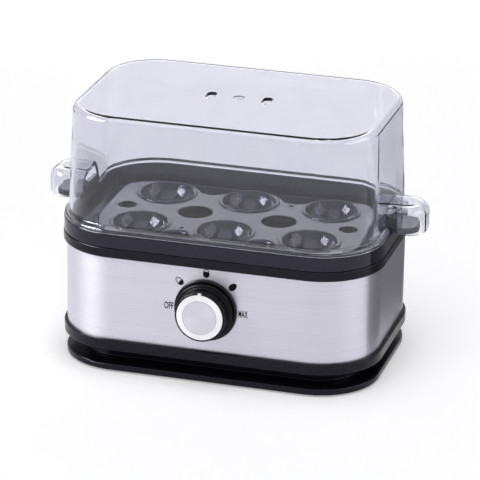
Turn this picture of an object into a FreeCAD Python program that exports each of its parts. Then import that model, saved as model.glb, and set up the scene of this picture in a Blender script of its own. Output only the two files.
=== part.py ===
import FreeCAD, Part
import math
import os

os.makedirs("parts", exist_ok=True)
Vec = FreeCAD.Vector
UP = Vec(0, 0, 1)
FORWARD = Vec(0, -1, 0)
BACKWARD = Vec(0, 1, 0)

# Driving sizes of the body outline, in millimetres.
# Offsets below are measured outward from this outline, and heights from the table.
BODY_HALF_LENGTH = 95.0
BODY_HALF_WIDTH = 63.5
BODY_CORNER = 36.5
SHELL_WALL = 0.8
SEAM_GAP = 0.3
TOUCH_FIT = 0.05
EDGE_ROUND = 0.8

# Foot plate, cord groove and base flange
FOOT_LIFT = 1.0
FOOT_RADIUS = 6.0
FOOT_POCKET = 1.0
FOOT_INSET = 22.5
PLATE_TOP = 4.9
PLATE_OFFSET = 0.3
PLATE_FLOOR = 2.5
GROOVE_DEPTH = 12.0
DRUM_WALL = 2.5
FLANGE_BOTTOM = 14.2
FLANGE_TOP = 21.0
FLANGE_OFFSET = 1.8
BASE_FLOOR = 2.4
SHELL_SINK = 2.0
BASE_WALL_TOP = 27.0
BASE_WALL = 1.8

# Collar, gasket and water pan
COLLAR_BOTTOM = 72.2
COLLAR_TOP = 78.0
COLLAR_OFFSET = 2.0
COLLAR_SLOT = 3.0
COLLAR_WALL = 1.9
LEDGE_TOP = 70.8
LEDGE_THICK = 3.0
LEDGE_REACH = 9.0
GASKET_THICK = 1.0
PAN_SHEET = 1.2
PAN_FLOOR_BOTTOM = 60.6
PAN_BEND = 6.0
PAN_LIP_BEND = 2.0
PAN_LEDGE_GAP = 0.5

# Egg tray
RIM_OFFSET = 1.7
RIM_TOP = 86.9
RIM_WALL = 2.0
UPSTAND_TOP = 87.7
UPSTAND_WALL = 1.5
TRAY_WALL = 1.8
TRAY_COLLAR_GAP = 0.6
MOAT_FLOOR = 76.2
MOAT_REACH = 9.0
PLATEAU_TOP = 81.5
PLATEAU_MARGIN = 14.0
PLATEAU_CORNER = 20.0
PLATEAU_EDGE = 2.0
CUP_INSET_X = 43.6
CUP_INSET_Y = 36.9
CUP_SCALLOP = 21.5
VALLEY_RISE = 14.0
CUP_LIP_RADIUS = 18.4
CUP_MOUTH_RADIUS = 16.0
CUP_DEPTH = 12.0
CUP_LIP_HEIGHT = 1.0
STEAM_HOLE_RADIUS = 10.5
END_HOLE_RADIUS = 5.75
END_HOLE_SPACING = 16.6
PIN_HOLE_RADIUS = 1.5
PIN_HOLE_SPACING = 1.0
HANDLE_ROOT = 4.0
HANDLE_REACH = 15.5
HANDLE_HALF_WIDTH = 11.5
TONGUE_THICK = 3.2
TONGUE_CORNER = 8.5
TONGUE_EDGE = 1.0
TAB_RISE = 9.0
TAB_THICK = 2.5
TAB_CORNER = 5.0

# Lid
LID_WALL = 2.0
LID_SKIRT_OFFSET = 1.3
LID_SKIRT_TOP = 93.6
LID_SHOULDER_TOP = 95.6
LID_SHOULDER_OFFSET = -1.2
LID_CROWN_OFFSET = -4.0
LID_TOP = 155.5
LID_EDGE = 4.5
LID_BEND = 1.0
LUG_ROOT = 15.0
LUG_REACH = 20.0
LUG_HALF_WIDTH = 14.0
LUG_TOP = 103.5
LUG_CORNER = 11.0
LUG_EDGE = 7.0
VENT_X = 17.0
VENT_HALF_WIDTH = 2.75
VENT_HALF_LENGTH = 5.5
VENT_CORNER = 2.7
LID_MARK_RADIUS = 3.5
LID_MARK_DEPTH = 0.5

# Knob and control
BEZEL_RADIUS = 18.75
BEZEL_THICK = 2.0
BEZEL_PLATE = 1.0
KNOB_GAP = 0.5
KNOB_REACH = 13.5
SKIRT_RADIUS = 17.0
SKIRT_THICK = 2.5
GRIP_RADIUS = 15.0
GRIP_BAND = 5.6
CAP_RADIUS = 13.8
CAP_THICK = 1.4
CAP_PROUD = 0.5
CAP_RING_RADIUS = 10.4
CAP_RING_WIDTH = 0.5
CAP_RING_DEPTH = 0.3
POINTER_HALF_WIDTH = 1.0
POINTER_REACH = 1.2
GROOVE_COUNT = 60
GROOVE_NOTCH = 0.5
KNOB_CAVITY_RADIUS = 12.5
KNOB_FACE = 3.0
HUB_RADIUS = 5.5
SHAFT_RADIUS = 3.0
SHAFT_FLAT = 2.2
SHAFT_TAIL = 4.0
CLIP_SHEET = 0.6
CLIP_LENGTH = 4.5
CLIP_GAP = 0.1
BUSHING_RADIUS = 5.0
BUSHING_REACH = 5.0
NUT_FLATS = 13.0
NUT_THICK = 2.4
CONTROL_HALF_WIDTH = 14.0
CONTROL_HALF_HEIGHT = 11.0
CONTROL_DEPTH = 18.0
CONTROL_CORNER = 2.5
CONTROL_TAB = 3.0

# Heater, shield and cut-out under the pan
SPREADER_INSET_X = 14.0
SPREADER_INSET_Y = 6.0
SPREADER_CORNER = 18.0
SPREADER_THICK = 4.5
ELEMENT_RADIUS = 3.25
ELEMENT_INSET_X = 12.0
ELEMENT_INSET_Y = 7.0
ELEMENT_BEND = 12.0
ELEMENT_END_X = 6.0
ELEMENT_DROP = 6.5
ELEMENT_TURN = 6.0
TERMINAL_RADIUS = 1.2
TERMINAL_LENGTH = 5.0
TERMINAL_COLLAR = 1.0
STUD_INSET_X = 33.0
STUD_INSET_Y = 29.0
STUD_RADIUS = 4.0
STUD_NECK_RADIUS = 2.8
SHIELD_BOTTOM = 40.0
SHIELD_SHEET = 0.8
SHIELD_MARGIN_X = 8.0
SHIELD_MARGIN_Y = 5.5
SHIELD_CORNER = 5.0
CUTOUT_RADIUS = 8.0
CUTOUT_HEIGHT = 7.0
CUTOUT_EAR_X = 12.5
CUTOUT_EAR_RADIUS = 3.5
CUTOUT_EAR_THICK = 1.2
CUTOUT_TAB_X = 4.0
SCREW_SMALL_RADIUS = 1.25
SCREW_SMALL_HEAD = 2.4
SCREW_SMALL_HEAD_HEIGHT = 1.4
SCREW_SMALL_DEPTH = 3.0
TAB_WIDTH = 6.3
TAB_SHEET = 0.8
TAB_LENGTH = 6.0
EARTH_INSET = 4.0
EARTH_FOOT = 8.0
EARTH_DROP = 10.0

# Screws, posts, terminal block and cord gland
TIE_RADIUS = 2.0
TIE_HEAD_RADIUS = 3.6
TIE_HEAD_HEIGHT = 2.4
TIE_GRIP = 20.0
TIE_BOSS_RADIUS = 6.5
TIE_HOLE_GAP = 0.2
TIE_SEAT = 18.6
COVER_SPACING = 22.0
COVER_POST_RADIUS = 5.0
COVER_SCREW_RADIUS = 1.5
COVER_HEAD_RADIUS = 3.1
COVER_HEAD_HEIGHT = 2.4
COVER_SEAT = 5.2
COVER_SCREW_TOP = 22.0
COVER_BOSS_TOP = 24.0
HEAD_GAP = 0.3
CROSS_HALF_WIDTH = 0.5
CROSS_DEPTH = 1.2
CROSS_REACH = 0.6
BLOCK_X = -28.0
BLOCK_Y = 14.0
BLOCK_HALF_LENGTH = 15.0
BLOCK_HALF_WIDTH = 7.0
BLOCK_HEIGHT = 13.0
POLE_COUNT = 3
POLE_PITCH = 9.5
POLE_WIRE_RADIUS = 1.7
POLE_SCREW_RADIUS = 1.5
POLE_SCREW_LENGTH = 5.0
GLAND_RADIUS = 3.7
GLAND_FLANGE_RADIUS = 4.1
GLAND_FLANGE_THICK = 1.5
GLAND_BORE_RADIUS = 3.2
GLAND_REACH = 7.0
GLAND_TAIL = 3.0
GLAND_TIP_RADIUS = 3.55

# Places that follow from the sizes above
CORNER_X = BODY_HALF_LENGTH - BODY_CORNER
CORNER_Y = BODY_HALF_WIDTH - BODY_CORNER
AXIS_OFFSET = -BODY_CORNER
CUP_X = BODY_HALF_LENGTH - CUP_INSET_X
CUP_Y = BODY_HALF_WIDTH - CUP_INSET_Y
PLATEAU_HALF_LENGTH = BODY_HALF_LENGTH - PLATEAU_MARGIN
HANDLE_INNER_X = BODY_HALF_LENGTH - HANDLE_ROOT
HANDLE_TIP_X = BODY_HALF_LENGTH + HANDLE_REACH
LUG_ROOT_X = BODY_HALF_LENGTH - LUG_ROOT
LUG_TIP_X = BODY_HALF_LENGTH + LUG_REACH
FOOT_X = BODY_HALF_LENGTH - FOOT_INSET
FOOT_Y = BODY_HALF_WIDTH - FOOT_INSET
STUD_X = BODY_HALF_LENGTH - STUD_INSET_X
STUD_Y = BODY_HALF_WIDTH - STUD_INSET_Y
COVER_X = STUD_X - COVER_SPACING
COVER_Y = STUD_Y
SHIELD_HALF_LENGTH = STUD_X + SHIELD_MARGIN_X
SHIELD_HALF_WIDTH = STUD_Y + SHIELD_MARGIN_Y
SPREADER_HALF_LENGTH = STUD_X - SPREADER_INSET_X
SPREADER_HALF_WIDTH = STUD_Y - SPREADER_INSET_Y
ELEMENT_HALF_LENGTH = SPREADER_HALF_LENGTH - ELEMENT_INSET_X
ELEMENT_HALF_WIDTH = SPREADER_HALF_WIDTH - ELEMENT_INSET_Y
EARTH_X = STUD_X - EARTH_INSET
KNOB_Z = (FLANGE_TOP + COLLAR_BOTTOM) / 2
PANEL_FRONT = -BODY_HALF_WIDTH
PANEL_BACK = PANEL_FRONT + SHELL_WALL
BEZEL_FRONT = PANEL_FRONT - BEZEL_THICK
KNOB_BACK = BEZEL_FRONT - KNOB_GAP
KNOB_FRONT = PANEL_FRONT - KNOB_REACH
SHELL_BOTTOM = FLANGE_TOP - SHELL_SINK
SHELL_TOP = COLLAR_BOTTOM + COLLAR_SLOT
SLOT_INNER = -SHELL_WALL - SEAM_GAP
SLOT_OUTER = SEAM_GAP
BASE_FLOOR_TOP = FLANGE_BOTTOM + BASE_FLOOR
COLLAR_INNER = SLOT_INNER - COLLAR_WALL
PAN_LIP_BOTTOM = LEDGE_TOP + GASKET_THICK
PAN_LIP_TOP = PAN_LIP_BOTTOM + PAN_SHEET
PAN_LIP_OFFSET = COLLAR_INNER - SEAM_GAP
PAN_WALL_OFFSET = -LEDGE_REACH - PAN_LEDGE_GAP
SPREADER_BOTTOM = PAN_FLOOR_BOTTOM - SPREADER_THICK
SAME_POINT = 0.001
FULL_TURN = 360
QUARTER_TURN = 90
CENTRE_SHIFT = (KNOB_REACH - COLLAR_OFFSET) / 2


def rounded_edges(corners, place):
    """Edges of a closed outline through (u, v, radius) corners; place gives the 3-D point of (u, v)."""
    joints = []
    count = len(corners)
    for index, (u, v, radius) in enumerate(corners):
        here = Vec(u, v, 0)
        before = Vec(*corners[index - 1][:2], 0)
        after = Vec(*corners[(index + 1) % count][:2], 0)
        if radius == 0:
            joints.append((here, here, here))
            continue
        back = (before - here).normalize()
        onward = (after - here).normalize()
        half_angle = back.getAngle(onward) / 2
        reach = radius / math.tan(half_angle)
        middle = (back + onward).normalize() * (radius / math.sin(half_angle) - radius)
        joints.append((here + back * reach, here + middle, here + onward * reach))
    edges = []
    for index, (start, middle, end) in enumerate(joints):
        following = joints[(index + 1) % count][0]
        points = [place(point.x, point.y) for point in (start, middle, end, following)]
        if start != end:
            edges.append(Part.Arc(*points[:3]).toShape())
        if not end.isEqual(following, SAME_POINT):
            edges.append(Part.makeLine(points[2], points[3]))
    return edges


def outline_face(corners, place):
    return Part.Face(Part.Wire(Part.__sortEdges__(rounded_edges(corners, place))))


def join(shapes):
    return shapes[0].multiFuse(shapes[1:]).removeSplitter()


def sweep_outline(section):
    """Carry a section of (offset, height, radius) corners once round the body outline."""
    pieces = []
    for side in (1, -1):
        end = outline_face(section, lambda o, z: Vec(side * (BODY_HALF_LENGTH + o), -side * CORNER_Y, z))
        flank = outline_face(section, lambda o, z: Vec(side * CORNER_X, side * (BODY_HALF_WIDTH + o), z))
        pieces.append(end.extrude(Vec(0, side * 2 * CORNER_Y, 0)))
        pieces.append(flank.extrude(Vec(-side * 2 * CORNER_X, 0, 0)))
        pieces.append(end.revolve(Vec(side * CORNER_X, -side * CORNER_Y, 0), UP, -QUARTER_TURN))
        pieces.append(flank.revolve(Vec(side * CORNER_X, side * CORNER_Y, 0), UP, -QUARTER_TURN))
    return join(pieces)


def box_between(x_low, x_high, y_low, y_high, z_low, z_high):
    return Part.makeBox(x_high - x_low, y_high - y_low, z_high - z_low, Vec(x_low, y_low, z_low))


def centre_block(z_low, z_high):
    return box_between(-CORNER_X, CORNER_X, -CORNER_Y, CORNER_Y, z_low, z_high)


def rounded_slab(x_low, x_high, half_width, corner, z_low, z_high):
    corners = [(x_low, -half_width, corner), (x_high, -half_width, corner)]
    corners += [(x_high, half_width, corner), (x_low, half_width, corner)]
    return outline_face(corners, lambda x, y: Vec(x, y, z_low)).extrude(Vec(0, 0, z_high - z_low))


def post(radius, x, y, z_low, z_high):
    return Part.makeCylinder(radius, z_high - z_low, Vec(x, y, z_low), UP)


def spindle(radius, y_back, y_front):
    return Part.makeCylinder(radius, y_back - y_front, Vec(0, y_back, KNOB_Z), FORWARD)


def four_places(x, y):
    return [(x, y), (-x, y), (x, -y), (-x, -y)]


def cross_slot(x, y, z_low, reach):
    half = CROSS_HALF_WIDTH
    z_high = z_low + CROSS_DEPTH
    along = box_between(x - reach, x + reach, y - half, y + half, z_low, z_high)
    across = box_between(x - half, x + half, y - reach, y + reach, z_low, z_high)
    return along.fuse(across)


def screw_from_below(x, y, radius, top, head_radius, head_height, seat):
    shank = post(radius, x, y, seat, top)
    head = post(head_radius, x, y, seat - head_height, seat)
    slot = cross_slot(x, y, seat - head_height, head_radius * CROSS_REACH)
    return shank.fuse(head).cut(slot).removeSplitter()


def save(node, shape):
    """Centre the part on the box of the whole cooker and write the node."""
    shape.translate(Vec(0, CENTRE_SHIFT, 0))
    shape.exportStep("parts/" + node + ".step")


# Steel shell: a plain band of sheet with one hole in the front for the control's bushing.
shell_section = [
    (-SHELL_WALL, SHELL_BOTTOM, 0),
    (0, SHELL_BOTTOM, 0),
    (0, SHELL_TOP, 0),
    (-SHELL_WALL, SHELL_TOP, 0),
]
bushing_hole = spindle(BUSHING_RADIUS + SEAM_GAP, PANEL_BACK + SHELL_WALL, BEZEL_FRONT)
save("steel_shell", sweep_outline(shell_section).cut(bushing_hole))

# Base housing: the black flange under the shell, its floor, and the bosses for both sets of screws.
base_section = [
    (FLANGE_OFFSET, FLANGE_BOTTOM, EDGE_ROUND),
    (FLANGE_OFFSET, FLANGE_TOP, EDGE_ROUND),
    (SLOT_OUTER, FLANGE_TOP, 0),
    (SLOT_OUTER, SHELL_BOTTOM, 0),
    (SLOT_INNER, SHELL_BOTTOM, 0),
    (SLOT_INNER, BASE_WALL_TOP, 0),
    (SLOT_INNER - BASE_WALL, BASE_WALL_TOP, 0),
    (SLOT_INNER - BASE_WALL, BASE_FLOOR_TOP, 0),
    (AXIS_OFFSET, BASE_FLOOR_TOP, 0),
    (AXIS_OFFSET, FLANGE_BOTTOM, 0),
]
base = [sweep_outline(base_section), centre_block(FLANGE_BOTTOM, BASE_FLOOR_TOP)]
base_holes = []
for x, y in four_places(STUD_X, STUD_Y):
    base.append(post(TIE_BOSS_RADIUS, x, y, FLANGE_BOTTOM, BASE_WALL_TOP))
    base_holes.append(post(TIE_RADIUS + TIE_HOLE_GAP, x, y, FLANGE_BOTTOM, BASE_WALL_TOP))
    base_holes.append(post(TIE_HEAD_RADIUS + HEAD_GAP, x, y, FLANGE_BOTTOM, TIE_SEAT))
for x, y in four_places(COVER_X, COVER_Y):
    base.append(post(COVER_POST_RADIUS, x, y, FLANGE_BOTTOM, COVER_BOSS_TOP))
    base_holes.append(post(COVER_SCREW_RADIUS + TOUCH_FIT, x, y, FLANGE_BOTTOM, COVER_SCREW_TOP))
save("base_housing", join(base).cut(base_holes).removeSplitter())

# Bottom cover: the foot plate and the drum that the cord winds round.
drum_outer = -GROOVE_DEPTH
drum_inner = drum_outer - DRUM_WALL
plate_floor_top = FOOT_LIFT + PLATE_FLOOR
cover_section = [
    (PLATE_OFFSET, FOOT_LIFT, EDGE_ROUND),
    (PLATE_OFFSET, PLATE_TOP, EDGE_ROUND),
    (drum_outer, PLATE_TOP, EDGE_ROUND),
    (drum_outer, FLANGE_BOTTOM, 0),
    (drum_inner, FLANGE_BOTTOM, 0),
    (drum_inner, plate_floor_top, 0),
    (AXIS_OFFSET, plate_floor_top, 0),
    (AXIS_OFFSET, FOOT_LIFT, 0),
]
gland_z = (PLATE_TOP + FLANGE_BOTTOM) / 2
drum_back = BODY_HALF_WIDTH + drum_outer
drum_inside = drum_back - DRUM_WALL
cover = [sweep_outline(cover_section), centre_block(FOOT_LIFT, plate_floor_top)]
gland_root = Vec(0, drum_inside, gland_z)
cover_holes = [Part.makeCylinder(GLAND_RADIUS + TOUCH_FIT, DRUM_WALL, gland_root, BACKWARD)]
for x, y in four_places(COVER_X, COVER_Y):
    cover.append(post(COVER_POST_RADIUS, x, y, FOOT_LIFT, FLANGE_BOTTOM))
    cover_holes.append(post(COVER_SCREW_RADIUS + TIE_HOLE_GAP, x, y, FOOT_LIFT, FLANGE_BOTTOM))
    cover_holes.append(post(COVER_HEAD_RADIUS + HEAD_GAP, x, y, FOOT_LIFT, COVER_SEAT))
for x, y in four_places(FOOT_X, FOOT_Y):
    cover_holes.append(post(FOOT_RADIUS + TOUCH_FIT, x, y, FOOT_LIFT, FOOT_LIFT + FOOT_POCKET))
save("bottom_cover", join(cover).cut(cover_holes).removeSplitter())

# Rubber feet: round pads pressed into the pockets of the foot plate.
feet = []
for x, y in four_places(FOOT_X, FOOT_Y):
    pad = post(FOOT_RADIUS, x, y, 0, FOOT_LIFT + FOOT_POCKET)
    rim = [edge for edge in pad.Edges if edge.BoundBox.ZMax < FOOT_LIFT / 2]
    feet.append(pad.makeChamfer(FOOT_LIFT / 2, rim))
save("rubber_feet", Part.makeCompound(feet))

# Screws: four that hold the foot plate, and four long ones that pull the pan and body together.
cover_screws = []
for x, y in four_places(COVER_X, COVER_Y):
    cover_screws.append(screw_from_below(x, y, COVER_SCREW_RADIUS, COVER_SCREW_TOP, COVER_HEAD_RADIUS,
                                         COVER_HEAD_HEIGHT, COVER_SEAT))
save("cover_screws", Part.makeCompound(cover_screws))
tie_screws = []
for x, y in four_places(STUD_X, STUD_Y):
    tie_screws.append(screw_from_below(x, y, TIE_RADIUS, TIE_SEAT + TIE_GRIP, TIE_HEAD_RADIUS,
                                       TIE_HEAD_HEIGHT, TIE_SEAT))
save("tie_screws", Part.makeCompound(tie_screws))

# Cord gland: a sleeve through the back of the drum, where the supply cord comes out into the groove.
gland_section = [
    (GLAND_BORE_RADIUS, drum_inside - GLAND_TAIL, 0),
    (GLAND_RADIUS, drum_inside - GLAND_TAIL, 0),
    (GLAND_RADIUS, drum_back, 0),
    (GLAND_FLANGE_RADIUS, drum_back, 0),
    (GLAND_FLANGE_RADIUS, drum_back + GLAND_FLANGE_THICK, 0),
    (GLAND_RADIUS, drum_back + GLAND_FLANGE_THICK, 0),
    (GLAND_TIP_RADIUS, drum_back + GLAND_REACH, 0),
    (GLAND_BORE_RADIUS, drum_back + GLAND_REACH, 0),
]
gland_face = outline_face(gland_section, lambda r, y: Vec(r, y, gland_z))
save("cord_gland", gland_face.revolve(Vec(0, 0, gland_z), BACKWARD, FULL_TURN))

# Collar: the lower black ring, slotted over the shell's top edge, with a ledge inside for the pan.
collar_section = [
    (COLLAR_OFFSET, COLLAR_BOTTOM, EDGE_ROUND),
    (COLLAR_OFFSET, COLLAR_TOP, EDGE_ROUND),
    (COLLAR_INNER, COLLAR_TOP, 0),
    (COLLAR_INNER, LEDGE_TOP, 0),
    (-LEDGE_REACH, LEDGE_TOP, 0),
    (-LEDGE_REACH, LEDGE_TOP - LEDGE_THICK, 0),
    (SLOT_INNER, LEDGE_TOP - LEDGE_THICK, 0),
    (SLOT_INNER, SHELL_TOP, 0),
    (SLOT_OUTER, SHELL_TOP, 0),
    (SLOT_OUTER, COLLAR_BOTTOM, 0),
]
save("top_rim", sweep_outline(collar_section))

# Gasket: a flat silicone ring between the collar's ledge and the lip of the pan.
gasket_section = [
    (PAN_LIP_OFFSET, LEDGE_TOP, 0),
    (PAN_LIP_OFFSET, PAN_LIP_BOTTOM, 0),
    (-LEDGE_REACH + SEAM_GAP, PAN_LIP_BOTTOM, 0),
    (-LEDGE_REACH + SEAM_GAP, LEDGE_TOP, 0),
]
save("rim_gasket", sweep_outline(gasket_section))

# Water pan: a shallow pressed tray with a lip that hangs on the gasket.
pan_section = [
    (PAN_LIP_OFFSET, PAN_LIP_BOTTOM, 0),
    (PAN_LIP_OFFSET, PAN_LIP_TOP, 0),
    (PAN_WALL_OFFSET - PAN_SHEET, PAN_LIP_TOP, PAN_LIP_BEND),
    (PAN_WALL_OFFSET - PAN_SHEET, PAN_FLOOR_BOTTOM + PAN_SHEET, PAN_BEND),
    (AXIS_OFFSET, PAN_FLOOR_BOTTOM + PAN_SHEET, 0),
    (AXIS_OFFSET, PAN_FLOOR_BOTTOM, 0),
    (PAN_WALL_OFFSET, PAN_FLOOR_BOTTOM, PAN_BEND + PAN_SHEET),
    (PAN_WALL_OFFSET, PAN_LIP_BOTTOM, 0),
]
pan_floor = centre_block(PAN_FLOOR_BOTTOM, PAN_FLOOR_BOTTOM + PAN_SHEET)
save("water_pan", join([sweep_outline(pan_section), pan_floor]))

# Pan studs: threaded spacers welded under the pan, with a shoulder that carries the heat shield.
studs = []
for x, y in four_places(STUD_X, STUD_Y):
    stud = post(STUD_RADIUS, x, y, BASE_WALL_TOP, SHIELD_BOTTOM)
    stud = stud.fuse(post(STUD_NECK_RADIUS, x, y, SHIELD_BOTTOM, PAN_FLOOR_BOTTOM))
    thread = post(TIE_RADIUS + TOUCH_FIT, x, y, BASE_WALL_TOP, SHIELD_BOTTOM)
    studs.append(stud.cut(thread).removeSplitter())
save("pan_studs", Part.makeCompound(studs))

# Heating element: a tube bent into a loop under the pan, with both ends turned down at the back.
element_z = SPREADER_BOTTOM
element_loop = [
    (-ELEMENT_END_X, ELEMENT_HALF_WIDTH, element_z - ELEMENT_DROP),
    (-ELEMENT_END_X, ELEMENT_HALF_WIDTH, element_z),
    (-ELEMENT_HALF_LENGTH, ELEMENT_HALF_WIDTH, element_z),
    (-ELEMENT_HALF_LENGTH, -ELEMENT_HALF_WIDTH, element_z),
    (ELEMENT_HALF_LENGTH, -ELEMENT_HALF_WIDTH, element_z),
    (ELEMENT_HALF_LENGTH, ELEMENT_HALF_WIDTH, element_z),
    (ELEMENT_END_X, ELEMENT_HALF_WIDTH, element_z),
    (ELEMENT_END_X, ELEMENT_HALF_WIDTH, element_z - ELEMENT_DROP),
]


def bent_tube(stations, radius, bends):
    """Round tube along straight runs between stations, with an arc at each inner station."""
    points = [Vec(*station) for station in stations]
    edges = []
    last = points[0]
    for index in range(1, len(points) - 1):
        bend = bends[index - 1]
        back = (points[index - 1] - points[index]).normalize()
        onward = (points[index + 1] - points[index]).normalize()
        start = points[index] + back * bend
        end = points[index] + onward * bend
        middle = points[index] + (back + onward) * (bend * (1 - math.sqrt(0.5)))
        edges.append(Part.makeLine(last, start))
        edges.append(Part.Arc(start, middle, end).toShape())
        last = end
    edges.append(Part.makeLine(last, points[-1]))
    path = Part.Wire(edges)
    ring = Part.Wire(Part.makeCircle(radius, points[0], points[1] - points[0]))
    return path.makePipeShell([ring], True, False)


element_bends = [ELEMENT_TURN] + [ELEMENT_BEND] * 4 + [ELEMENT_TURN]
save("heating_element", bent_tube(element_loop, ELEMENT_RADIUS, element_bends))

# Heat spreader: an aluminium plate on the pan's underside, grooved for the upper half of the element.
spreader = rounded_slab(-SPREADER_HALF_LENGTH, SPREADER_HALF_LENGTH, SPREADER_HALF_WIDTH, SPREADER_CORNER,
                        SPREADER_BOTTOM, PAN_FLOOR_BOTTOM)
groove = bent_tube(element_loop, ELEMENT_RADIUS + SEAM_GAP, element_bends)
screw_holes = []
for side in (1, -1):
    screw_holes.append(post(SCREW_SMALL_RADIUS + TOUCH_FIT, side * CUTOUT_EAR_X, 0, SPREADER_BOTTOM,
                            SPREADER_BOTTOM + SCREW_SMALL_DEPTH))
save("heat_spreader", spreader.cut([groove] + screw_holes).removeSplitter())

# Element terminals: a ceramic collar and a pin at each end of the element.
terminals = []
terminal_top = element_z - ELEMENT_DROP
for side in (1, -1):
    x = side * ELEMENT_END_X
    collar = post(ELEMENT_RADIUS, x, ELEMENT_HALF_WIDTH, terminal_top - TERMINAL_COLLAR, terminal_top)
    pin = post(TERMINAL_RADIUS, x, ELEMENT_HALF_WIDTH, terminal_top - TERMINAL_LENGTH, terminal_top)
    terminals.append(collar.fuse(pin).removeSplitter())
save("element_terminals", Part.makeCompound(terminals))

# Over-temperature cut-out: a disc with two ears, screwed against the spreader inside the loop.
cutout = post(CUTOUT_RADIUS, 0, 0, SPREADER_BOTTOM - CUTOUT_HEIGHT, SPREADER_BOTTOM)
ear_bottom = SPREADER_BOTTOM - CUTOUT_EAR_THICK
cutout_pieces = [cutout, box_between(-CUTOUT_EAR_X, CUTOUT_EAR_X, -CUTOUT_EAR_RADIUS, CUTOUT_EAR_RADIUS,
                                     ear_bottom, SPREADER_BOTTOM)]
ear_holes = []
for side in (1, -1):
    cutout_pieces.append(post(CUTOUT_EAR_RADIUS, side * CUTOUT_EAR_X, 0, ear_bottom, SPREADER_BOTTOM))
    ear_holes.append(post(SCREW_SMALL_RADIUS + TOUCH_FIT, side * CUTOUT_EAR_X, 0, ear_bottom,
                          SPREADER_BOTTOM))
    tab_low = side * CUTOUT_TAB_X - TAB_SHEET / 2
    tab_top = SPREADER_BOTTOM - CUTOUT_HEIGHT
    cutout_pieces.append(box_between(tab_low, tab_low + TAB_SHEET, -TAB_WIDTH / 2, TAB_WIDTH / 2,
                                     tab_top - TAB_LENGTH, tab_top))
save("thermal_cutout", join(cutout_pieces).cut(ear_holes).removeSplitter())
cutout_screws = []
for side in (1, -1):
    cutout_screws.append(screw_from_below(side * CUTOUT_EAR_X, 0, SCREW_SMALL_RADIUS,
                                          SPREADER_BOTTOM + SCREW_SMALL_DEPTH, SCREW_SMALL_HEAD,
                                          SCREW_SMALL_HEAD_HEIGHT, ear_bottom))
save("cutout_screws", Part.makeCompound(cutout_screws))

# Heat shield: a thin sheet on the shoulders of the studs, between the heater and the wiring.
shield_top = SHIELD_BOTTOM + SHIELD_SHEET
shield = rounded_slab(-SHIELD_HALF_LENGTH, SHIELD_HALF_LENGTH, SHIELD_HALF_WIDTH, SHIELD_CORNER,
                      SHIELD_BOTTOM, shield_top)
shield_holes = []
for x, y in four_places(STUD_X, STUD_Y):
    shield_holes.append(post(STUD_NECK_RADIUS + SEAM_GAP, x, y, SHIELD_BOTTOM, shield_top))
save("heat_shield", shield.cut(shield_holes))

# Earth tab: a bent strip spot-welded to the pan.
earth_foot = box_between(EARTH_X, EARTH_X + EARTH_FOOT, -TAB_WIDTH / 2, TAB_WIDTH / 2,
                         PAN_FLOOR_BOTTOM - TAB_SHEET, PAN_FLOOR_BOTTOM)
earth_blade = box_between(EARTH_X, EARTH_X + TAB_SHEET, -TAB_WIDTH / 2, TAB_WIDTH / 2,
                          PAN_FLOOR_BOTTOM - EARTH_DROP, PAN_FLOOR_BOTTOM)
save("earth_tab", earth_foot.fuse(earth_blade).removeSplitter())

# Terminal block on the base floor, with wire holes along Y and a clamp screw over each.
block_top = BASE_FLOOR_TOP + BLOCK_HEIGHT
block = box_between(BLOCK_X - BLOCK_HALF_LENGTH, BLOCK_X + BLOCK_HALF_LENGTH, BLOCK_Y - BLOCK_HALF_WIDTH,
                    BLOCK_Y + BLOCK_HALF_WIDTH, BASE_FLOOR_TOP, block_top)
block_holes = []
block_screws = []
wire_z = BASE_FLOOR_TOP + BLOCK_HEIGHT / 2
pole_screw_bottom = block_top - POLE_SCREW_LENGTH
for pole in range(POLE_COUNT):
    x = BLOCK_X + (pole - (POLE_COUNT - 1) / 2) * POLE_PITCH
    block_holes.append(Part.makeCylinder(POLE_WIRE_RADIUS, 2 * BLOCK_HALF_WIDTH,
                                         Vec(x, BLOCK_Y - BLOCK_HALF_WIDTH, wire_z), BACKWARD))
    block_holes.append(post(POLE_SCREW_RADIUS + TOUCH_FIT, x, BLOCK_Y, pole_screw_bottom, block_top))
    screw = post(POLE_SCREW_RADIUS, x, BLOCK_Y, pole_screw_bottom, block_top)
    block_screws.append(screw.cut(box_between(x - POLE_SCREW_RADIUS, x + POLE_SCREW_RADIUS,
                                              BLOCK_Y - CROSS_HALF_WIDTH, BLOCK_Y + CROSS_HALF_WIDTH,
                                              block_top - CROSS_DEPTH, block_top)))
save("terminal_block", block.cut(block_holes))
save("terminal_screws", Part.makeCompound(block_screws))

# Control: a moulded body behind the panel, clamped by a bushing and nut, with a turning shaft.
control_back = PANEL_BACK + CONTROL_DEPTH
control_corners = [
    (-CONTROL_HALF_WIDTH, KNOB_Z - CONTROL_HALF_HEIGHT, CONTROL_CORNER),
    (CONTROL_HALF_WIDTH, KNOB_Z - CONTROL_HALF_HEIGHT, CONTROL_CORNER),
    (CONTROL_HALF_WIDTH, KNOB_Z + CONTROL_HALF_HEIGHT, CONTROL_CORNER),
    (-CONTROL_HALF_WIDTH, KNOB_Z + CONTROL_HALF_HEIGHT, CONTROL_CORNER),
]
control_face = outline_face(control_corners, lambda x, z: Vec(x, PANEL_BACK, z))
control = control_face.extrude(BACKWARD * CONTROL_DEPTH)
shaft_tail_y = PANEL_BACK + SHAFT_TAIL
control = control.cut(spindle(SHAFT_RADIUS + SEAM_GAP, shaft_tail_y + SEAM_GAP, PANEL_BACK))
control_tabs = [control]
for side in (1, -1):
    tab_z = KNOB_Z + side * CONTROL_HALF_HEIGHT / 2
    control_tabs.append(box_between(-TAB_WIDTH / 2, TAB_WIDTH / 2, control_back, control_back + CONTROL_TAB,
                                    tab_z - TAB_SHEET / 2, tab_z + TAB_SHEET / 2))
save("control_body", join(control_tabs))

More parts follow.
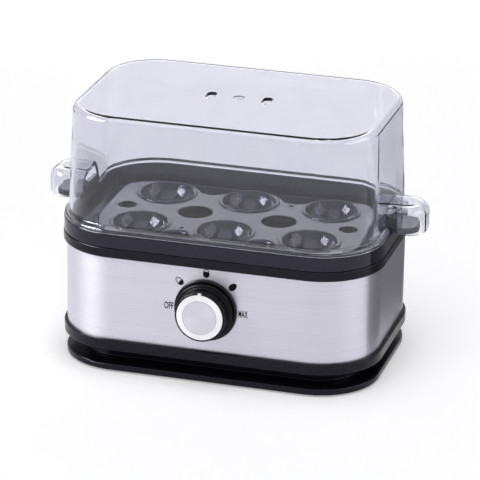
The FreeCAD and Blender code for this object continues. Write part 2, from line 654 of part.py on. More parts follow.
bushing_front = PANEL_FRONT - BUSHING_REACH
bushing = spindle(BUSHING_RADIUS, PANEL_BACK, bushing_front)
save("control_bushing", bushing.cut(spindle(SHAFT_RADIUS + TOUCH_FIT, PANEL_BACK, bushing_front)))

nut_back = PANEL_FRONT - BEZEL_PLATE
nut_front = nut_back - NUT_THICK
nut_reach = NUT_FLATS / 2 / math.cos(math.pi / 6)
nut_corners = []
for corner in range(6):
    angle = math.pi / 3 * corner
    nut_corners.append((nut_reach * math.sin(angle), KNOB_Z + nut_reach * math.cos(angle), 0))
nut = outline_face(nut_corners, lambda x, z: Vec(x, nut_back, z)).extrude(FORWARD * NUT_THICK)
save("control_nut", nut.cut(spindle(BUSHING_RADIUS + TOUCH_FIT, nut_back, nut_front)))

# Bezel: a thin black disc under the nut, dished for it.
bezel = spindle(BEZEL_RADIUS, PANEL_FRONT, BEZEL_FRONT)
bezel_rim = [edge for edge in bezel.Edges if edge.BoundBox.YMax < BEZEL_FRONT + SEAM_GAP]
bezel = bezel.makeFillet(EDGE_ROUND, bezel_rim)
bezel = bezel.cut(spindle(BUSHING_RADIUS + SEAM_GAP, PANEL_FRONT, BEZEL_FRONT))
save("knob_bezel", bezel.cut(spindle(nut_reach + HEAD_GAP, nut_back, BEZEL_FRONT)))

# Knob: a skirt, a finely grooved grip and a seat for the cap, hollow behind with a hub for the shaft.
def shaft_shape(radius, flat, y_back, y_front):
    """Round shaft with one flat on its lower side."""
    relief = box_between(-radius, radius, y_front, y_back, KNOB_Z - radius, KNOB_Z - flat)
    return spindle(radius, y_back, y_front).cut(relief)


cap_front = KNOB_FRONT
cap_back = cap_front + CAP_THICK
grip_front = cap_front + CAP_PROUD
skirt_front = KNOB_BACK - SKIRT_THICK
cavity_front = cap_back + KNOB_FACE
hub_back = bushing_front - KNOB_GAP
knob_section = [
    (0, KNOB_BACK, 0),
    (SKIRT_RADIUS, KNOB_BACK, 0),
    (SKIRT_RADIUS, skirt_front, EDGE_ROUND),
    (GRIP_RADIUS, skirt_front, EDGE_ROUND),
    (GRIP_RADIUS, grip_front, EDGE_ROUND),
    (0, grip_front, 0),
]
knob_face = outline_face(knob_section, lambda r, y: Vec(r, y, KNOB_Z))
knob = knob_face.revolve(Vec(0, 0, KNOB_Z), BACKWARD, FULL_TURN)
knob = knob.cut(spindle(KNOB_CAVITY_RADIUS, KNOB_BACK, cavity_front))
knob = knob.fuse(spindle(HUB_RADIUS, hub_back, cavity_front)).removeSplitter()
clip_radius = SHAFT_RADIUS + CLIP_GAP + CLIP_SHEET
shaft_front = cavity_front - KNOB_FACE / 2


def pointer_key(gap):
    """Small key on the cap's edge at the top, which shows the setting and keeps the cap from turning."""
    half = POINTER_HALF_WIDTH + gap
    return box_between(-half, half, cap_front, cap_back, KNOB_Z + CAP_RING_RADIUS,
                       KNOB_Z + CAP_RADIUS + POINTER_REACH + gap)


knob_cuts = [spindle(CAP_RADIUS + TOUCH_FIT, cap_back, grip_front), pointer_key(TOUCH_FIT)]
knob_cuts.append(shaft_shape(SHAFT_RADIUS + TOUCH_FIT, SHAFT_FLAT + TOUCH_FIT, hub_back, shaft_front))
groove_corners = [
    (GRIP_RADIUS - GROOVE_NOTCH, KNOB_Z, 0),
    (GRIP_RADIUS + GROOVE_NOTCH, KNOB_Z - GROOVE_NOTCH, 0),
    (GRIP_RADIUS + GROOVE_NOTCH, KNOB_Z + GROOVE_NOTCH, 0),
]
groove_face = outline_face(groove_corners, lambda x, z: Vec(x, skirt_front - EDGE_ROUND, z))
grip_groove = groove_face.extrude(FORWARD * GRIP_BAND)
for index in range(GROOVE_COUNT):
    groove = grip_groove.copy()
    groove.rotate(Vec(0, 0, KNOB_Z), BACKWARD, FULL_TURN * (index + 0.5) / GROOVE_COUNT)
    knob_cuts.append(groove)
slot_front = hub_back - CLIP_LENGTH - CLIP_GAP
clip_slot = spindle(clip_radius + CLIP_GAP, hub_back, slot_front)
clip_slot = clip_slot.cut(spindle(SHAFT_RADIUS + CLIP_GAP, hub_back, slot_front))
upper_half = box_between(-HUB_RADIUS, HUB_RADIUS, KNOB_FRONT, KNOB_BACK, KNOB_Z, KNOB_Z + HUB_RADIUS)
knob_cuts.append(clip_slot.common(upper_half))
save("knob_body", knob.cut(knob_cuts).removeSplitter())

# Knob cap: a thin bright disc with a bevelled rim, a fine turned ring and a pointer on its edge at the top.
cap_section = [
    (0, cap_back, 0),
    (CAP_RADIUS, cap_back, 0),
    (CAP_RADIUS, grip_front, 0),
    (CAP_RING_RADIUS, cap_front, 0),
    (0, cap_front, 0),
]
cap_face = outline_face(cap_section, lambda r, y: Vec(r, y, KNOB_Z))
cap = cap_face.revolve(Vec(0, 0, KNOB_Z), BACKWARD, FULL_TURN)
ring = spindle(CAP_RING_RADIUS, cap_front + CAP_RING_DEPTH, cap_front)
ring = ring.cut(spindle(CAP_RING_RADIUS - CAP_RING_WIDTH, cap_front + CAP_RING_DEPTH, cap_front))
save("knob_cap", cap.fuse(pointer_key(0)).removeSplitter().cut(ring))

# Shaft and spring clip: the shaft turns in the bushing, and the clip grips it inside the hub.
save("control_shaft", shaft_shape(SHAFT_RADIUS, SHAFT_FLAT, shaft_tail_y, shaft_front))
clip = spindle(clip_radius, hub_back, hub_back - CLIP_LENGTH)
clip = clip.cut(spindle(SHAFT_RADIUS + 2 * CLIP_GAP, hub_back, hub_back - CLIP_LENGTH))
upper_half.translate(Vec(0, 0, CLIP_GAP))
save("knob_spring_clip", clip.common(upper_half))


# Egg tray: a rim that rests on the collar, a moat, and a raised plateau with six egg bowls.
def plateau_solid(inset, z_low, z_high):
    """Slab with scallops round the bowls and a valley between neighbouring bowls, drawn in by inset."""
    half_width = CUP_Y + CUP_SCALLOP - inset
    scallop = CUP_SCALLOP - inset
    valley_x = CUP_X / 2
    valley_y = CUP_Y + VALLEY_RISE
    valley = math.hypot(valley_x, VALLEY_RISE) - scallop
    slope = math.atan2(VALLEY_RISE, valley_x)
    half_length = PLATEAU_HALF_LENGTH - inset
    corner = PLATEAU_CORNER - inset
    corner_x = half_length - corner
    corner_y = half_width - corner

    def around(x, y, radius, angle):
        return Vec(x + radius * math.cos(angle), y + radius * math.sin(angle), z_low)

    def quarter_edges():
        inner_start = around(0, CUP_Y, scallop, math.pi / 2)
        inner_mid = around(0, CUP_Y, scallop, (math.pi / 2 + slope) / 2)
        inner_end = around(0, CUP_Y, scallop, slope)
        valley_mid = around(valley_x, valley_y, valley, -math.pi / 2)
        outer_start = around(CUP_X, CUP_Y, scallop, math.pi - slope)
        outer_mid = around(CUP_X, CUP_Y, scallop, (math.pi / 2 + math.pi - slope) / 2)
        outer_end = around(CUP_X, CUP_Y, scallop, math.pi / 2)
        corner_start = Vec(corner_x, half_width, z_low)
        corner_mid = around(corner_x, corner_y, corner, math.pi / 4)
        corner_end = Vec(half_length, corner_y, z_low)
        return [
            Part.Arc(inner_start, inner_mid, inner_end).toShape(),
            Part.Arc(inner_end, valley_mid, outer_start).toShape(),
            Part.Arc(outer_start, outer_mid, outer_end).toShape(),
            Part.makeLine(outer_end, corner_start),
            Part.Arc(corner_start, corner_mid, corner_end).toShape(),
            Part.makeLine(corner_end, Vec(half_length, 0, z_low)),
        ]

    quarter = Part.makeCompound(quarter_edges())
    half = quarter.Edges + quarter.mirror(Vec(0, 0, 0), Vec(1, 0, 0)).Edges
    whole = half + Part.makeCompound(half).mirror(Vec(0, 0, 0), Vec(0, 1, 0)).Edges
    face = Part.Face(Part.Wire(Part.__sortEdges__(whole)))
    return face.extrude(Vec(0, 0, z_high - z_low))


def cup_solid(x, y):
    """Bowl of even wall with a rounded lip, as a solid of revolution."""
    mouth_z = PLATEAU_TOP + CUP_LIP_HEIGHT / 2
    ball = (CUP_MOUTH_RADIUS ** 2 + CUP_DEPTH ** 2) / (2 * CUP_DEPTH)
    ball_z = mouth_z - CUP_DEPTH + ball
    outer_ball = ball + TRAY_WALL
    under = PLATEAU_TOP - TRAY_WALL
    outer_mouth = math.sqrt(outer_ball ** 2 - (under - ball_z) ** 2)
    lean = math.radians(45)

    def at(radius, z):
        return Vec(x + radius, y, z)

    lip_mid = (CUP_MOUTH_RADIUS + CUP_LIP_RADIUS) / 2
    edges = [
        Part.Arc(at(0, ball_z - ball), at(ball * math.sin(lean), ball_z - ball * math.cos(lean)),
                 at(CUP_MOUTH_RADIUS, mouth_z)).toShape(),
        Part.Arc(at(CUP_MOUTH_RADIUS, mouth_z), at(lip_mid, PLATEAU_TOP + CUP_LIP_HEIGHT),
                 at(CUP_LIP_RADIUS, PLATEAU_TOP)).toShape(),
        Part.makeLine(at(CUP_LIP_RADIUS, PLATEAU_TOP), at(CUP_LIP_RADIUS, under)),
        Part.makeLine(at(CUP_LIP_RADIUS, under), at(outer_mouth, under)),
        Part.Arc(at(outer_mouth, under),
                 at(outer_ball * math.sin(lean), ball_z - outer_ball * math.cos(lean)),
                 at(0, ball_z - outer_ball)).toShape(),
        Part.makeLine(at(0, ball_z - outer_ball), at(0, ball_z - ball)),
    ]
    return Part.Face(Part.Wire(edges)).revolve(Vec(x, y, 0), UP, FULL_TURN)


def end_block(side, x_low, x_high, half_width, corner, edge, z_low, z_high):
    """Block at one end of the cooker with its outer corners and top edge rounded."""
    corners = [(x_low, -half_width, 0), (x_high, -half_width, corner)]
    corners += [(x_high, half_width, corner), (x_low, half_width, 0)]
    block = outline_face(corners, lambda x, y: Vec(side * x, y, z_low)).extrude(Vec(0, 0, z_high - z_low))
    top = []
    for candidate in block.Edges:
        box = candidate.BoundBox
        inner_side = max(abs(box.XMin), abs(box.XMax)) < x_low + SEAM_GAP
        if box.ZMin > z_high - SEAM_GAP and not inner_side:
            top.append(candidate)
    return block.makeFillet(edge, top)


tray_moat_bottom = MOAT_FLOOR - TRAY_WALL
tray_skirt = COLLAR_INNER - TRAY_COLLAR_GAP
upstand_outer = LID_SKIRT_OFFSET - LID_WALL - TRAY_COLLAR_GAP
rim_section = [
    (RIM_OFFSET, COLLAR_TOP, EDGE_ROUND),
    (RIM_OFFSET, RIM_TOP, EDGE_ROUND),
    (upstand_outer, RIM_TOP, 0),
    (upstand_outer, UPSTAND_TOP, EDGE_ROUND),
    (upstand_outer - UPSTAND_WALL, UPSTAND_TOP, EDGE_ROUND),
    (tray_skirt - TRAY_WALL, MOAT_FLOOR, EDGE_ROUND),
    (-MOAT_REACH, MOAT_FLOOR, 0),
    (-MOAT_REACH, tray_moat_bottom, 0),
    (tray_skirt, tray_moat_bottom, EDGE_ROUND),
    (tray_skirt, COLLAR_TOP + SEAM_GAP, 0),
    (upstand_outer - SEAM_GAP, RIM_TOP - RIM_WALL, 0),
    (RIM_OFFSET - RIM_WALL, RIM_TOP - RIM_WALL, 0),
    (RIM_OFFSET - RIM_WALL, COLLAR_TOP, 0),
]
moat_half_length = BODY_HALF_LENGTH - MOAT_REACH + SEAM_GAP
moat_half_width = BODY_HALF_WIDTH - MOAT_REACH + SEAM_GAP
moat_corner = BODY_CORNER - MOAT_REACH + SEAM_GAP
moat_slab = rounded_slab(-moat_half_length, moat_half_length, moat_half_width, moat_corner,
                         tray_moat_bottom, MOAT_FLOOR)
plateau = plateau_solid(0, tray_moat_bottom, PLATEAU_TOP)
plateau_rim = [edge for edge in plateau.Edges if edge.BoundBox.ZMin > PLATEAU_TOP - SEAM_GAP]
plateau = plateau.makeFillet(PLATEAU_EDGE, plateau_rim)
tray = join([sweep_outline(rim_section), moat_slab, plateau])
tray = tray.cut(plateau_solid(TRAY_WALL, tray_moat_bottom, PLATEAU_TOP - TRAY_WALL))
tray_holes = []
cups = []
for x in (-CUP_X, 0, CUP_X):
    for y in (-CUP_Y, CUP_Y):
        cups.append(cup_solid(x, y))
        tray_holes.append(post(CUP_LIP_RADIUS, x, y, tray_moat_bottom, PLATEAU_TOP))
for side in (1, -1):
    tray_holes.append(post(STEAM_HOLE_RADIUS, side * CUP_X / 2, 0, tray_moat_bottom, PLATEAU_TOP))
    tray_holes.append(post(END_HOLE_RADIUS, side * (CUP_X + END_HOLE_SPACING), 0, tray_moat_bottom,
                           PLATEAU_TOP))
    tray_holes.append(post(PIN_HOLE_RADIUS, side * CUP_X / 2, side * (CUP_Y + PIN_HOLE_SPACING),
                           tray_moat_bottom, PLATEAU_TOP))
tray = tray.cut(tray_holes)

egg_tray = join([tray] + cups)

# Tray handles: at each end a flat tongue to lift by and an upright tab behind it, seated over the rim.
handles = []
for side in (1, -1):
    tongue = end_block(side, HANDLE_INNER_X, HANDLE_TIP_X, HANDLE_HALF_WIDTH, TONGUE_CORNER, TONGUE_EDGE,
                       RIM_TOP, RIM_TOP + TONGUE_THICK)
    tab_corners = [
        (-HANDLE_HALF_WIDTH, RIM_TOP, 0),
        (HANDLE_HALF_WIDTH, RIM_TOP, 0),
        (HANDLE_HALF_WIDTH, RIM_TOP + TAB_RISE, TAB_CORNER),
        (-HANDLE_HALF_WIDTH, RIM_TOP + TAB_RISE, TAB_CORNER),
    ]
    tab = outline_face(tab_corners, lambda y, z: Vec(side * HANDLE_INNER_X, y, z))
    tab = tab.extrude(Vec(side * TAB_THICK, 0, 0))
    handles.append(join([tongue, tab]).cut(egg_tray))
save("tray_handles", Part.makeCompound(handles))
save("egg_tray", egg_tray)

# Lid: a clear drafted cover with a stepped skirt, an end lug over each handle and two vents in the top.
def lid_solid(inset, z_low, edge):
    """Filled form of the lid, drawn in by inset on the sides and the top."""
    section = [
        (AXIS_OFFSET, z_low, 0),
        (LID_SKIRT_OFFSET - inset, z_low, 0),
        (LID_SKIRT_OFFSET - inset, LID_SKIRT_TOP - inset / 2, LID_BEND),
        (LID_SHOULDER_OFFSET - inset, LID_SHOULDER_TOP - inset / 2, LID_BEND),
        (LID_CROWN_OFFSET - inset, LID_TOP - inset, edge),
        (AXIS_OFFSET, LID_TOP - inset, 0),
    ]
    return join([sweep_outline(section), centre_block(z_low, LID_TOP - inset)])


lid = [lid_solid(0, RIM_TOP, LID_EDGE)]
lid_inside = [lid_solid(LID_WALL, RIM_TOP, LID_EDGE - LID_WALL)]
for side in (1, -1):
    lid.append(end_block(side, LUG_ROOT_X, LUG_TIP_X, LUG_HALF_WIDTH, LUG_CORNER, LUG_EDGE, RIM_TOP,
                         LUG_TOP))
    lid_inside.append(end_block(side, LUG_ROOT_X, LUG_TIP_X - LID_WALL, LUG_HALF_WIDTH - LID_WALL,
                                LUG_CORNER - LID_WALL, LUG_EDGE - LID_WALL, RIM_TOP, LUG_TOP - LID_WALL))
lid = join(lid).cut(join(lid_inside))
lid_cuts = [post(LID_MARK_RADIUS, 0, 0, LID_TOP - LID_MARK_DEPTH, LID_TOP)]
for side in (1, -1):
    lid_cuts.append(rounded_slab(side * VENT_X - VENT_HALF_WIDTH, side * VENT_X + VENT_HALF_WIDTH,
                                 VENT_HALF_LENGTH, VENT_CORNER, LID_TOP - LID_WALL, LID_TOP))
save("lid", lid.cut(lid_cuts).removeSplitter())
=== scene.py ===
import bpy
import bmesh
import math
from mathutils import Matrix, Vector


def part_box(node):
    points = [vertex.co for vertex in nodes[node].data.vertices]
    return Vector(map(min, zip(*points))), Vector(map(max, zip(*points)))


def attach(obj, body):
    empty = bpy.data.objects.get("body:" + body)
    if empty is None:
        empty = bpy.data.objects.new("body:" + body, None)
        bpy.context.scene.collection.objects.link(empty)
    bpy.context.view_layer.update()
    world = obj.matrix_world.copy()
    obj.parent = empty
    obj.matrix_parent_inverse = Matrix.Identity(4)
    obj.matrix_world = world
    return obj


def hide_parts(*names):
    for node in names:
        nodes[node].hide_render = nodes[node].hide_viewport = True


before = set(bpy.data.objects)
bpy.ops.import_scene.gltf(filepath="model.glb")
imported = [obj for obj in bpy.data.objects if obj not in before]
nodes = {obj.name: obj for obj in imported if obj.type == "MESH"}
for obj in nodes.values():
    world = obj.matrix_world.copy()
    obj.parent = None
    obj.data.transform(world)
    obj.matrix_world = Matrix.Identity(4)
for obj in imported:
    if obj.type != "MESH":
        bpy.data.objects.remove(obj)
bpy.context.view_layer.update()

# Base housing, bottom cover and collar: the black frame above and below the steel shell.
# All three are moulded in ABS. The collar is slotted over the shell's top edge, the housing carries its
# bottom edge, and the cover, with the foot plate and the drum for the cord, is screwed on from below.
MM = 0.001
# The shine of every plastic is a little violet.
SHEEN = "#ebe9fa"
# Nearly all noise lies between these two values.
NOISE_SPAN = {"From Min": 0.3, "From Max": 0.7}
# Sockets of a Mix node that mixes colours.
MIX_SHARE = 0
MIX_FIRST = 6
MIX_SECOND = 7
MIX_COLOUR = 2


def linear(hex_colour):
    """Linear colour with full alpha from an sRGB hex string, by the sRGB curve."""
    channels = []
    for start in (1, 3, 5):
        value = int(hex_colour[start:start + 2], 16) / 255
        channels.append(value / 12.92 if value <= 0.04045 else ((value + 0.055) / 1.055) ** 2.4)
    return (*channels, 1.0)


def add_node(tree, kind, settings=None, inputs=None):
    """Add a shader node, set its options, and set or link its inputs by name or place."""
    node = tree.nodes.new("ShaderNode" + kind)
    for option, value in (settings or {}).items():
        setattr(node, option, value)
    for name, value in (inputs or {}).items():
        if isinstance(value, bpy.types.NodeSocket):
            tree.links.new(value, node.inputs[name])
        else:
            node.inputs[name].default_value = value
    return node


def new_material(name):
    """Material with an empty node tree."""
    material = bpy.data.materials.new(name)
    material.use_nodes = True
    material.node_tree.nodes.clear()
    return material, material.node_tree


def tinted(tree, noise, dark, light):
    """Colour that goes from dark to light, given as hex strings, with a noise."""
    share = add_node(tree, "MapRange", {}, {"Value": noise, **NOISE_SPAN}).outputs["Result"]
    ends = {MIX_SHARE: share, MIX_FIRST: linear(dark), MIX_SECOND: linear(light)}
    return add_node(tree, "Mix", {"data_type": "RGBA"}, ends).outputs[MIX_COLOUR]


def mottled(tree, spot, dark, light):
    """Even noise with spots of about a given size in metres, and a colour that follows it."""
    place = add_node(tree, "TexCoord").outputs["Object"]
    noise = add_node(tree, "TexNoise", {}, {"Vector": place, "Scale": 1 / spot}).outputs[0]
    return noise, tinted(tree, noise, dark, light)


def moulded(name, dark, light, roughness, spot, relief, gloss):
    """Plastic or rubber with a moulded grain and a tinted shine; plain plastic has a gloss of 0.5."""
    material, tree = new_material(name)
    noise, colour = mottled(tree, spot, dark, light)
    finish = {"Value": noise, **NOISE_SPAN, "To Min": roughness[0], "To Max": roughness[1]}
    shader = add_node(tree, "BsdfPrincipled", {}, {
        "Base Color": colour,
        "Roughness": add_node(tree, "MapRange", {}, finish).outputs["Result"],
        "Specular IOR Level": gloss,
        "Specular Tint": linear(SHEEN),
        "Normal": add_node(tree, "Bump", {}, {"Height": noise, "Distance": relief}).outputs["Normal"],
    })
    add_node(tree, "OutputMaterial", {}, {"Surface": shader.outputs[0]})
    return material


def give(material, *names):
    """Put a material on CAD nodes."""
    for name in names:
        nodes[name].data.materials.clear()
        nodes[name].data.materials.append(material)


# Satin black ABS: the fine grain of the mould spreads each highlight into a soft band.
satin_abs = moulded("satin_black_abs", dark="#0b0a12", light="#12111b", roughness=(0.2, 0.28),
                    spot=0.5 * MM, relief=0.004 * MM, gloss=0.24)
give(satin_abs, "base_housing", "bottom_cover", "top_rim")

# Rubber feet and cord gland: round pads in pockets of the foot plate, and a sleeve through the drum's back.
# Both are moulded in black rubber and pressed into place. Rubber is matt, with a slightly pitted skin.
black_rubber = moulded("black_rubber", dark="#121212", light="#1c1c1c", roughness=(0.6, 0.75),
                       spot=0.4 * MM, relief=0.01 * MM, gloss=0.4)
give(black_rubber, "rubber_feet", "cord_gland")

# Pan gasket: a flat ring between the ledge of the collar and the lip of the pan, which presses it tight.
# It is grey silicone, smoother than rubber but still without a clear highlight.
grey_silicone = moulded("grey_silicone", dark="#8a8a88", light="#999996", roughness=(0.5, 0.6),
                        spot=0.6 * MM, relief=0.006 * MM, gloss=0.5)
give(grey_silicone, "rim_gasket")

# Water pan, heat spreader and heat shield: aluminium parts round the heater.
# The pan is pressed from sheet and hangs on the gasket, the spreader lies against its underside, and the
# shield rests on the shoulders of the studs under the pan.


def metal(name, dark, light, roughness, spot):
    """Plain metal whose colour and finish are a little uneven."""
    material, tree = new_material(name)
    noise, colour = mottled(tree, spot, dark, light)
    finish = {"Value": noise, **NOISE_SPAN, "To Min": roughness[0], "To Max": roughness[1]}
    shader = add_node(tree, "BsdfPrincipled", {}, {
        "Base Color": colour,
        "Metallic": 1.0,
        "Roughness": add_node(tree, "MapRange", {}, finish).outputs["Result"],
    })
    add_node(tree, "OutputMaterial", {}, {"Surface": shader.outputs[0]})
    return material


# Plain aluminium: pale grey, with soft cloudy reflections.
plain_aluminium = metal("plain_aluminium", dark="#a9a9ab", light="#bcbcbe", roughness=(0.3, 0.4),
                        spot=3 * MM)
give(plain_aluminium, "water_pan", "heat_spreader", "heat_shield")

# Heating element: a tube bent into a loop, which lies in the groove of the spreader.
# Its sheath is steel, turned brown-grey and dull by the heat.
oxidised_steel = metal("oxidised_steel", dark="#4a4745", light="#5f5b57", roughness=(0.45, 0.6),
                       spot=2 * MM)
give(oxidised_steel, "heating_element")

# Screws, pan studs, control shaft and spring clip: small steel parts with a plate of zinc.
# The screws hold the cover, the pan and the cut-out, the studs are welded under the pan, and the clip grips
# the shaft inside the knob. Zinc plate is a cool grey with a blurred shine.
zinc_plate = metal("zinc_plate", dark="#a3a5a8", light="#b9bbbe", roughness=(0.35, 0.45), spot=1 * MM)
give(zinc_plate, "cover_screws", "tie_screws", "pan_studs", "cutout_screws")
give(zinc_plate, "control_shaft", "knob_spring_clip")

# Element terminals, terminal screws and control bushing: small turned parts of bare brass.
# They take the wires at the element and the block, and clamp the control to the panel.
# Brass is warm and yellow, with a blurred shine.
brass = metal("brass", dark="#b89a55", light="#cdb06a", roughness=(0.3, 0.4), spot=1 * MM)
give(brass, "element_terminals", "terminal_screws", "control_bushing")

# Control nut and earth tab: brass with a pale plate, nickel on the nut and tin on the tab.
# The nut is screwed on the control's bushing and the tab is welded to the pan. The plate is a warm silver.
pale_plate = metal("pale_plate", dark="#b5b0a4", light="#c9c4b8", roughness=(0.25, 0.35), spot=1 * MM)
give(pale_plate, "control_nut", "earth_tab")

# Control body and over-temperature cut-out: closed cases of phenolic, which stands the heat.
# One is clamped behind the panel and the other screwed against the spreader.
# Phenolic is brown-black and dull.
phenolic = moulded("phenolic", dark="#1d1916", light="#2a2420", roughness=(0.4, 0.5),
                   spot=0.6 * MM, relief=0.004 * MM, gloss=0.5)
give(phenolic, "control_body", "thermal_cutout")

# Terminal block: a row of wire holes, each with its clamp screw, on the floor of the base.
# It is moulded in undyed nylon, which is cream-coloured with a soft shine.
nylon = moulded("nylon", dark="#d5d1c6", light="#e2ded4", roughness=(0.45, 0.55),
                spot=0.6 * MM, relief=0.004 * MM, gloss=0.5)
give(nylon, "terminal_block")

# Steel shell: a band of stainless sheet bent round the body, with one hole in front for the control.
# It is brushed along its length, so its streaks run level all the way round, and it is held between the
# collar and the base housing.
STREAK_LENGTH = 80 * MM
FINE_STREAK = 0.22 * MM
BROAD_STREAK = 1.4 * MM
STREAK_DETAIL = 3.0
STREAK_RELIEF = 0.0015 * MM
STEEL_ROUGHNESS = {"To Min": 0.32, "To Max": 0.36}
QUARTER_TURN = 0.25

# Brushed stainless steel: the level streaks draw each highlight out into an upright band.
# They are drawn coarser than real brushing, which is too fine to show.
brushed_steel, tree = new_material("brushed_stainless_steel")
place = add_node(tree, "TexCoord").outputs["Object"]
streaks = []
for streak_width in (FINE_STREAK, BROAD_STREAK):
    stretch = (1 / STREAK_LENGTH, 1 / STREAK_LENGTH, 1 / streak_width)
    drawn_out = add_node(tree, "Mapping", {}, {"Vector": place, "Scale": stretch}).outputs["Vector"]
    brushing = {"Vector": drawn_out, "Scale": 1.0, "Detail": STREAK_DETAIL}
    streaks.append(add_node(tree, "TexNoise", {}, brushing).outputs[0])
fine, broad = streaks
finish = {"Value": broad, **NOISE_SPAN, **STEEL_ROUGHNESS}
shader = add_node(tree, "BsdfPrincipled", {}, {
    "Base Color": tinted(tree, fine, "#cbc9d4", "#d6d5df"),
    "Metallic": 1.0,
    "Roughness": add_node(tree, "MapRange", {}, finish).outputs["Result"],
    "Anisotropic": 0.75,
    "Anisotropic Rotation": QUARTER_TURN,
    "Tangent": add_node(tree, "Tangent", {"direction_type": "RADIAL", "axis": "Z"}).outputs["Tangent"],
    "Normal": add_node(tree, "Bump", {}, {"Height": fine, "Distance": STREAK_RELIEF}).outputs["Normal"],
})
add_node(tree, "OutputMaterial", {}, {"Surface": shader.outputs[0]})
give(brushed_steel, "steel_shell")

# Printed scale: a thin layer of ink on the front of the shell, round the knob.
# It goes from OFF by three egg signs to MAX. The signs show soft, medium and hard by how much of the egg is
# filled with black, and the rest of each egg is white.
INK_THICKNESS = 0.04 * MM
INK_ROUGHNESS = {"To Min": 0.45, "To Max": 0.6}
INK_SPOT = 0.3 * MM
INK_GLOSS = 0.1
SIGN_RADIUS = 22.6 * MM
WORD_RADIUS = 22.4 * MM
WORD_HEIGHT = 4.3 * MM
WORD_WIDTH = 5.6 * MM
WORD_BOLDNESS = 0.022
EGG_LENGTH = 5.7 * MM
EGG_WIDTH = 3.9 * MM
EGG_LINE = 0.45 * MM
EGG_BLUNTNESS = 0.16
EGG_POINTS = 48
SOFT_FILL = 0.5
MEDIUM_FILL = 0.68
HARD_FILL = 1.0
OFF_TO_TOP = math.radians(90)
scene = bpy.context.scene
shell_low, shell_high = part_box("steel_shell")
bezel_low, bezel_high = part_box("knob_bezel")
panel_y = shell_low[1]
knob_z = (bezel_low[2] + bezel_high[2]) / 2


def printed(name, dark, light):
    """Printing ink, matt and a little uneven, which hides what is under it."""
    material, tree = new_material(name)
    noise, colour = mottled(tree, INK_SPOT, dark, light)
    finish = {"Value": noise, **NOISE_SPAN, **INK_ROUGHNESS}
    shader = add_node(tree, "BsdfPrincipled", {}, {
        "Base Color": colour,
        "Roughness": add_node(tree, "MapRange", {}, finish).outputs["Result"],
        "Specular IOR Level": INK_GLOSS,
    })
    add_node(tree, "OutputMaterial", {}, {"Surface": shader.outputs[0]})
    return material


def link_mesh(name, builder, material, body):
    """Make a mesh object at the origin from a bmesh, give it a material and let it ride on a body."""
    mesh = bpy.data.meshes.new(name)
    builder.to_mesh(mesh)
    builder.free()
    piece = bpy.data.objects.new(name, mesh)
    scene.collection.objects.link(piece)
    mesh.materials.append(material)
    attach(piece, body)
    return piece


def on_panel(radius, angle, turn):
    """Place of a flat print on the panel, at an angle from the top of the scale and turned clockwise."""
    middle = (radius * math.sin(angle), panel_y - INK_THICKNESS, knob_z + radius * math.cos(angle))
    upright = Matrix.Rotation(math.radians(90), 4, "X")
    return Matrix.Translation(middle) @ upright @ Matrix.Rotation(-turn, 4, "Z")


def thicken(builder):
    """Give flat faces the thickness of the ink, towards the panel."""
    bmesh.ops.recalc_face_normals(builder, faces=builder.faces[:])
    grown = bmesh.ops.extrude_face_region(builder, geom=builder.faces[:])
    lowered = [item for item in grown["geom"] if isinstance(item, bmesh.types.BMVert)]
    bmesh.ops.translate(builder, verts=lowered, vec=(0, 0, -INK_THICKNESS))
    bmesh.ops.recalc_face_normals(builder, faces=builder.faces[:])


def egg_outline(inset):
    """Points of an egg with its blunt end down, drawn in by inset."""
    points = []
    for index in range(EGG_POINTS):
        step = 2 * math.pi * index / EGG_POINTS
        across = (EGG_WIDTH / 2 - inset) * math.cos(step) * (1 - EGG_BLUNTNESS * math.sin(step))
        points.append(Vector((across, (EGG_LENGTH / 2 - inset) * math.sin(step), 0)))
    return points


def add_face(builder, points):
    """Add one flat face through points, if there are any."""
    if points:
        builder.faces.new([builder.verts.new(point) for point in points])


def egg_sign(name, angle, fill):
    """Egg at an angle on the scale: a black line, black up to a share of its length, and white above."""
    level = EGG_LENGTH * (fill - 0.5)
    inside = egg_outline(EGG_LINE)
    black = bmesh.new()
    for outline in (egg_outline(0), inside):
        corners = [black.verts.new(point) for point in outline]
        for corner, following in zip(corners, corners[1:] + corners[:1]):
            black.edges.new((corner, following))
    bmesh.ops.bridge_loops(black, edges=black.edges[:])
    add_face(black, [point for point in inside if point.y <= level])
    white = bmesh.new()
    add_face(white, [point for point in inside if point.y >= level])
    for label, sign, ink in ((name, black, black_ink), (name + "_white", white, white_ink)):
        if sign.faces:
            thicken(sign)
            sign.transform(on_panel(SIGN_RADIUS, angle, turn=angle))
            link_mesh(label, sign, ink, "base")
        else:
            sign.free()


def word(name, text, angle):
    """Word set upright at an angle on the scale, drawn to the height and width of the print."""
    curve = bpy.data.curves.new(name, "FONT")
    curve.body = text
    curve.align_x = "CENTER"
    curve.align_y = "CENTER"
    curve.offset = WORD_BOLDNESS
    text_object = bpy.data.objects.new(name + "_text", curve)
    scene.collection.objects.link(text_object)
    bpy.context.view_layer.update()
    mesh = bpy.data.meshes.new_from_object(text_object)
    bpy.data.objects.remove(text_object)
    letters = bmesh.new()
    letters.from_mesh(mesh)
    bpy.data.meshes.remove(mesh)
    across = [corner.co.x for corner in letters.verts]
    heights = [corner.co.y for corner in letters.verts]
    middle = Vector((max(across) + min(across), max(heights) + min(heights), 0)) / 2
    stretch = (WORD_WIDTH / (max(across) - min(across)), WORD_HEIGHT / (max(heights) - min(heights)), 1)
    bmesh.ops.translate(letters, verts=letters.verts[:], vec=-middle)
    bmesh.ops.scale(letters, verts=letters.verts[:], vec=stretch)
    thicken(letters)
    letters.transform(on_panel(WORD_RADIUS, angle, turn=0))
    link_mesh(name, letters, black_ink, "base")


